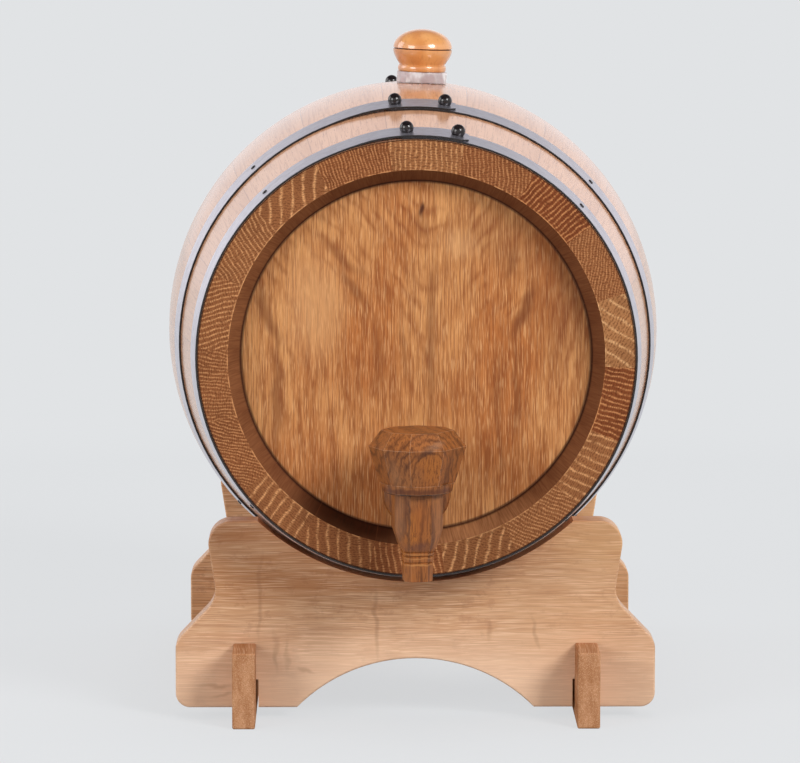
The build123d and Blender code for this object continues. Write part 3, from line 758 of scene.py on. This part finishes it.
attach(knob, "bung")

merge_within = 0.002 * mm
flat_within = math.radians(0.6)


def silicone():
    """Clear silicone, milky in streaks."""
    material, tree, shader = new_finish("clear silicone")
    streaks = mottle(tree, on_piece(tree), (0.22, 0.22, 0.12), detail=3.0)
    colour = stain(tree, tint(222, 200, 200), ramp(tree, streaks, 0.35, 0.65), tint(250, 247, 248))
    clear = reckon(tree, "MULTIPLY_ADD", ramp(tree, streaks, 0.4, 0.7), -0.3, 0.5)
    set_shader(tree, shader, Base_Color=colour, Roughness=0.22, Transmission_Weight=clear, IOR=1.41)
    return material


def eased_copy(node, name, width, finishes):
    """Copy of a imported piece, its triangles merged and its edges rounded in the last finish."""
    bpy.ops.object.select_all(action="DESELECT")
    piece = bpy.data.objects.new(name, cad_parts[node].data.copy())
    bpy.context.scene.collection.objects.link(piece)
    piece.data.materials.clear()
    for finish in finishes:
        piece.data.materials.append(finish)
    for side in piece.data.polygons:
        side.material_index = 0
    piece.select_set(True)
    bpy.context.view_layer.objects.active = piece
    if piece.data.has_custom_normals:
        bpy.ops.mesh.customdata_custom_splitnormals_clear()
    bpy.ops.object.mode_set(mode="EDIT")
    bpy.ops.mesh.select_all(action="SELECT")
    bpy.ops.mesh.remove_doubles(threshold=merge_within)
    bpy.ops.mesh.dissolve_limited(angle_limit=flat_within)
    bpy.ops.object.mode_set(mode="OBJECT")
    ease_edges(piece, width, arris=len(finishes) - 1)
    return piece


seal = eased_copy("bung_seal", "silicone_stopper", 0.35 * mm, [silicone()])
settle(seal)
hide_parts("bung_seal")
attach(seal, "bung")

# --------------------------------------------------------------------------------------------- tap
# Plug-valve tap of oily brown hardwood: an eight-sided spout on a turned shank, driven into the
# head, and an eight-sided key whose tapered plug turns in it. Whittled, sanded and waxed.
tap_axis = Vector((0.0, -135.125 * mm, 0.0))
heart_ahead = 19.0 * mm  # how far in front of the tap's axis the heart of its wood lies
mouth_height = 67.086 * mm
spout_top = 90.0 * mm
spout_back = -115.0 * mm
spout_wall = 4.5 * mm  # between the bore and the outside of the spout, from its axis
spout_half_width = 5.8 * mm
score_heights = (7.7 * mm, 10.3 * mm, 12.1 * mm)  # above the mouth
score_width = 0.8 * mm
score_depth = 0.4 * mm
score_slack = 0.02 * mm
key_arch = 115.0 * mm


def tap_wood(name, heart, arch, core, gap, skew, marks, wear_and_highlight=0.0):
    """Brown hardwood: a golden core, dark bands round it that arch over at a height, and a paler
    colour for the arrises, which is painted highlight.
    """
    material, tree, shader = new_finish(name)
    place = on_piece(tree, (heart, tap_axis.y - heart_ahead, arch))
    across, inwards, up = parts_of(tree, place)
    wander = drift(tree, place, (0.11, 0.06, 0.04))
    shiver = drift(tree, place, (0.5, 0.3, 0.2))
    sway = reckon(tree, "MULTIPLY_ADD", wander, 7.5, across)
    sway = reckon(tree, "MULTIPLY_ADD", inwards, skew, sway)
    rings = distance(tree, sway, reckon(tree, "MAXIMUM", up, 0.0))
    rings = reckon(tree, "MULTIPLY_ADD", shiver, 2.2, rings)
    past = reckon(tree, "SUBTRACT", rings, core)
    bands = reckon(tree, "POWER", wave(tree, past, gap), 2.5)
    bands = reckon(tree, "MULTIPLY", bands, ramp(tree, past, -0.45 * gap, -0.1 * gap))
    faint = ramp(tree, mottle(tree, place, (0.2, 0.2, 0.07)), 0.25, 0.55)
    threads = mottle(tree, place, (1.4, 1.1, 0.09), detail=3.0, roughness=0.65)
    clouds = mottle(tree, place, (0.1, 0.07, 0.06), detail=1.0)
    pores = mottle(tree, place, (2.6, 2.0, 0.3), detail=1.0)
    colour = stain(tree, tint(172, 103, 44), ramp(tree, clouds, 0.3, 0.7), tint(150, 87, 40))
    colour = stain(tree, colour, ramp(tree, past, -3.5, 2.0), tint(158, 95, 46))
    colour = stain(tree, colour, ramp(tree, clouds, 0.45, 0.7), tint(154, 99, 56), 0.5)
    colour = stain(tree, colour, ramp(tree, threads, 0.42, 0.66), tint(92, 48, 22), 0.62)
    colour = stain(tree, colour, reckon(tree, "MULTIPLY", bands, faint), tint(70, 32, 14), 0.62)
    colour = stain(tree, colour, ramp(tree, pores, 0.62, 0.72), tint(64, 30, 14), 0.5)
    # Paler arrises: painted highlight
    colour = stain(tree, colour, wear_and_highlight, tint(206, 160, 122))
    colour = marked(tree, colour, wavered(tree, 0.002, 0.3), marks)
    set_shader(tree, shader, Base_Color=colour, Roughness=0.45, Normal=relief(tree, threads, 0.12))
    set_shader(tree, shader, Specular_IOR_Level=0.25, Coat_Weight=0.15, Coat_Roughness=0.18)
    return material


def scored(piece, height):
    """Scores a line round the spout with a knife: three cuts, and the middle one pushed in."""
    for level in (height - score_width / 2, height, height + score_width / 2):
        choose(piece, lambda corner: corner.z < spout_top and corner.y < spout_back)
        bpy.ops.mesh.bisect(plane_co=(0.0, 0.0, level), plane_no=(0.0, 0.0, 1.0))
    choose(piece, lambda corner: abs(corner.z - height) < score_slack
           and math.hypot(corner.x, corner.y - tap_axis.y) > spout_wall)
    shrink = 1 - score_depth / spout_half_width
    bpy.ops.transform.resize(
        value=(shrink, shrink, 1.0), center_override=(0.0, tap_axis.y, height)
    )


# Painted highlight on the lip just under each scored line
score_lip_highlight = tint(196, 134, 76)
body_marks_and_light = (
    ((0.2, 81.5), 0, 7.0, 2.6, tint(96, 58, 48), 0.6),
    ((1.2, 93.0), 0, 3.2, 10.0, tint(134, 72, 30), 0.42),
    ((-3.6, 92.0), 0, 0.9, 14.0, tint(66, 34, 18), 0.7),
    ((5.6, 92.0), 0, 0.7, 14.0, tint(66, 34, 18), 0.55),
    # Painted reflection and light on the two facets beside the front face
    ((-7.5, 92.0), 0, 2.6, 12.0, tint(156, 110, 76), 0.4),
    ((8.6, 92.0), 0, 2.2, 12.0, tint(162, 108, 66), 0.4),
    ((0.0, 78.4), 0, 9.0, 0.4, score_lip_highlight, 0.5),
    ((0.0, 76.6), 0, 9.0, 0.4, score_lip_highlight, 0.5),
    ((0.0, 74.0), 0, 9.0, 0.45, score_lip_highlight, 0.65),
)
body_grain = (1.3 * mm, 240.0 * mm, 3.9, 4.6, 0.3, body_marks_and_light)
body_woods = [
    tap_wood("tap body wood", *body_grain),
    tap_wood("tap body arris", *body_grain, wear_and_highlight=0.3),
]
body = eased_copy("tap_body", "tap_spout_and_shank", 0.3 * mm, body_woods)
for score_height in score_heights:
    scored(body, mouth_height + score_height)
settle(body, 30.0, flats=True)
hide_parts("tap_body")
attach(body, "barrel")

key_marks_and_light = (
    # Painted reflection on the upper right facet
    ((6.6, 123.4), 70, 1.8, 5.0, tint(172, 130, 100), 0.35),
    ((2.6, 120.8), 62, 1.4, 4.8, tint(60, 30, 20), 0.7),
    ((-9.0, 112.0), -12, 2.4, 8.0, tint(160, 112, 76), 0.35),
    ((12.0, 112.0), 14, 1.6, 9.0, tint(70, 36, 18), 0.5),
    ((0.0, 104.7), 90, 1.5, 30.0, tint(80, 38, 20), 0.72),
    # Painted shadow line under the collar
    ((0.0, 103.1), 90, 0.6, 30.0, tint(38, 16, 10), 0.9),
)
key_grain = (5.2 * mm, key_arch, 5.8, 2.6, 0.35, key_marks_and_light)
key_woods = [
    tap_wood("tap key wood", *key_grain),
    tap_wood("tap key arris", *key_grain, wear_and_highlight=0.8),
]
key = eased_copy("tap_key", "tap_key_and_plug", 0.4 * mm, key_woods)
settle(key, 30.0, flats=True)
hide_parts("tap_key")
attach(key, "tap_key")

# ------------------------------------------------------------------------------------------- stand
# Two cradle boards of pale oak with the grain level, sawn to shape with rounded edges, and two
# browner rails on edge that lap into them. Glued and sanded; the boards have one coat of clear
# varnish, and the rails are left bare.
tan_mark = tint(138, 88, 52)
board_grain = (0.02, 0.9, 1.5)
rail_grain = (1.0, 0.014, 1.0)


def stand_oak(name, stretch, pale, brown, marks=(), gloss=1.0, contrast=1.0):
    """Pale oak with the grain along one axis: fine pore lines, darker bands and a few marks."""
    material, tree, shader = new_finish(name)
    place = on_piece(tree)
    wander = scatter(tree, place, 0.02)
    wander = put(tree, "VectorMath", {0: wander, "Scale": 3.0}, operation="SCALE")
    place = put(tree, "VectorMath", {0: place, 1: wander}, operation="ADD")
    along, inwards, up = stretch
    lines = mottle(tree, place, (along, inwards, up), detail=4.0, roughness=0.68)
    fine = mottle(tree, place, (along * 3, inwards * 2.6, up * 2.6))
    broad = mottle(tree, place, (along * 0.3, inwards * 0.1, up * 0.1))
    flecks = mottle(tree, place, (0.16, 0.16, 0.22), detail=4.0, roughness=0.7)
    colour = stain(tree, pale, ramp(tree, broad, 0.32, 0.68), brown)
    darker = ramp(tree, lines, 0.44, 0.62)
    colour = stain(tree, colour, darker, tint(160, 102, 60), 0.58 * contrast)
    lighter = ramp(tree, fine, 0.48, 0.68)
    colour = stain(tree, colour, lighter, tint(248, 212, 176), 0.6 * contrast)
    colour = stain(tree, colour, ramp(tree, flecks, 0.55, 0.66), tint(158, 104, 68), 0.28)
    colour = marked(tree, colour, wavered(tree, 0.005, 0.12), marks)
    sunk = relief(tree, reckon(tree, "MULTIPLY", lines, -1.0), 0.12)
    set_shader(tree, shader, Base_Color=colour, Roughness=0.5, Normal=sunk)
    set_shader(tree, shader, Specular_IOR_Level=0.3 * gloss)
    set_shader(tree, shader, Coat_Weight=0.2 * gloss, Coat_Roughness=0.25)
    return material


long_marks = (
    ((-64.9, 52.0), 2, 1.2, 20.0, tan_mark, 0.32),
    ((-16.4, 41.0), 0, 1.2, 17.0, tan_mark, 0.32),
)
front_board_marks_and_shading = (
    # Painted light: the broad pale marks low across the board and on its right
    ((0.0, 8.0), 0, 220.0, 34.0, tint(250, 212, 180), 0.72),
    ((75.0, 76.0), 0, 24.0, 16.0, tint(238, 190, 138), 0.42),
    ((60.0, 46.0), 0, 34.0, 24.0, tint(242, 194, 150), 0.3),
    *long_marks,
    ((31.0, 38.0), 0, 1.4, 5.0, tan_mark, 0.26),
    ((50.0, 36.0), -14, 1.2, 7.0, tan_mark, 0.26),
    ((-58.0, 29.0), 0, 1.4, 9.0, tan_mark, 0.25),
    ((-53.5, 27.0), 4, 1.2, 8.0, tan_mark, 0.22),
    ((-46.0, 20.0), 14, 5.0, 1.4, tan_mark, 0.3),
    ((-83.0, 13.5), 4, 8.0, 1.2, tan_mark, 0.3),
    ((-80.0, 10.0), -6, 6.0, 0.9, tan_mark, 0.25),
    # Painted shade: the broad dark marks on the upper left
    ((-84.0, 76.0), 0, 22.0, 14.0, tint(164, 104, 60), 0.4),
    ((-60.0, 56.0), 0, 30.0, 12.0, tint(176, 118, 74), 0.25),
)
# The broad pale mark at the right end is painted light
rear_board_marks_and_light = (*long_marks, ((90.0, 62.0), 0, 16.0, 50.0, tint(246, 198, 148), 0.6))
for board, name, pale, brown, marks in (
    ("front", "board oak", tint(208, 160, 119), tint(188, 132, 87), front_board_marks_and_shading),
    ("rear", "rear board oak", tint(220, 166, 120), tint(202, 146, 98), rear_board_marks_and_light),
):
    dress("stand_board_" + board, stand_oak(name, board_grain, pale, brown, marks))
for hand in ("left", "right"):
    pale, brown = tint(196, 144, 106), tint(173, 119, 81)
    rail_oak = stand_oak(hand + " rail oak", rail_grain, pale, brown, gloss=0.0, contrast=0.5)
    rail = eased_copy("stand_rail_" + hand, hand + "_rail", 0.2 * mm, [rail_oak])
    settle(rail, 30.0, flats=True)
    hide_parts("stand_rail_" + hand)
    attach(rail, "stand")

# -------------------------------------------------------------------------------------------- room
# A pale floor that runs back out of sight, an even light with a darker ceiling that shows in the
# metal, soft lamps on both sides, above and behind, and the camera.
room_pale = tint(225, 227, 229)
fade_from = 0.3  # metres from the object to where the floor begins to fade
fade_to = 0.9
least_fade = 0.82
room_light = (0.2, 0.2, 0.205, 1.0)
camera_place = (-0.02658, -2.01526, 0.36846)
camera_dip = 6.69  # degrees below level
camera_turn = -0.0104  # radians off straight ahead
camera_lens = 211.75
camera_film = 36.0


def mirrored_ray(tree):
    """1 for what shows in polished pieces or through clear ones, and 0 for the rest."""
    path = put(tree, "LightPath").node.outputs
    return reckon(tree, "MAXIMUM", path["Is Glossy Ray"], path["Is Transmission Ray"])


def camera_ray(tree):
    """1 for what the camera sees directly, and 0 for the rest."""
    return put(tree, "LightPath").node.outputs["Is Camera Ray"]


def floor_finish():
    """Pale floor that keeps the object's shadow near it and fades out further away."""
    material, tree, shader = new_finish("pale floor")
    away = put(tree, "VectorMath", {0: own_place(tree)}, operation="LENGTH").node.outputs["Value"]
    shown = reckon(tree, "MAXIMUM", camera_ray(tree), mirrored_ray(tree))
    paint = stain(tree, tint(160, 157, 155), shown, room_pale)
    set_shader(tree, shader, Base_Color=paint, Roughness=0.9, Specular_IOR_Level=0.0)
    glow = put(tree, "Emission", {"Color": room_pale, "Strength": 1.0})
    faded = reckon(tree, "MAXIMUM", ramp(tree, away, fade_from, fade_to), least_fade)
    faded = reckon(tree, "MULTIPLY", faded, shown)
    seen = put(tree, "MixShader", {0: faded, 1: shader.outputs[0], 2: glow})
    tree.links.new(seen, tree.nodes["Material Output"].inputs["Surface"])
    return material


def softbox(name, place, width, height, watts, mirrored):
    """A soft lamp aimed at the cask, which may show in polished pieces."""
    bpy.ops.object.light_add(type="AREA", location=place)
    holder = bpy.context.object
    holder.name = name
    aim = Vector((0.0, 0.0, axis_height)) - Vector(place)
    holder.rotation_euler = aim.to_track_quat("-Z", "Y").to_euler()
    holder.data.shape = "RECTANGLE"
    holder.data.size = width
    holder.data.size_y = height
    holder.data.energy = watts
    holder.visible_camera = False
    holder.visible_glossy = mirrored


bpy.ops.mesh.primitive_plane_add(size=40.0, location=(0.0, 0.0, 0.0))
floor = bpy.context.object
floor.name = "floor"
floor.data.materials.append(floor_finish())

world = bpy.data.worlds.new("studio")
bpy.context.scene.world = world
world.use_nodes = True
room = world.node_tree
up = parts_of(room, put(room, "TexCoord").node.outputs["Generated"])["Z"]
wall = stain(room, tint(254, 252, 255), ramp(room, up, 0.33, 0.68), tint(110, 108, 116))
light = stain(room, room_light, mirrored_ray(room), wall)
light = stain(room, light, camera_ray(room), room_pale)
room.links.new(light, room.nodes["Background"].inputs["Color"])

softbox("right softbox", (1.3, -1.6, 1.25), 0.8, 0.8, 36.0, True)
softbox("left softbox", (-1.55, -1.5, 0.75), 1.0, 1.0, 21.0, True)
softbox("left rear softbox", (-2.0, 0.5, 0.9), 1.0, 1.4, 12.0, True)
softbox("right rear softbox", (2.0, 0.6, 0.5), 0.6, 0.9, 7.0, False)
softbox("top softbox", (0.1, 0.1, 2.1), 1.2, 1.2, 12.0, False)
softbox("rear softbox", (0.0, 2.4, 1.15), 2.0, 1.2, 12.0, False)

camera_tilt = math.radians(90 - camera_dip)
bpy.ops.object.camera_add(location=camera_place, rotation=(camera_tilt, 0.0, camera_turn))
camera = bpy.context.object
camera.data.lens = camera_lens
camera.data.sensor_width = camera_film
bpy.context.scene.camera = camera
bpy.context.scene.view_settings.view_transform = "Standard"
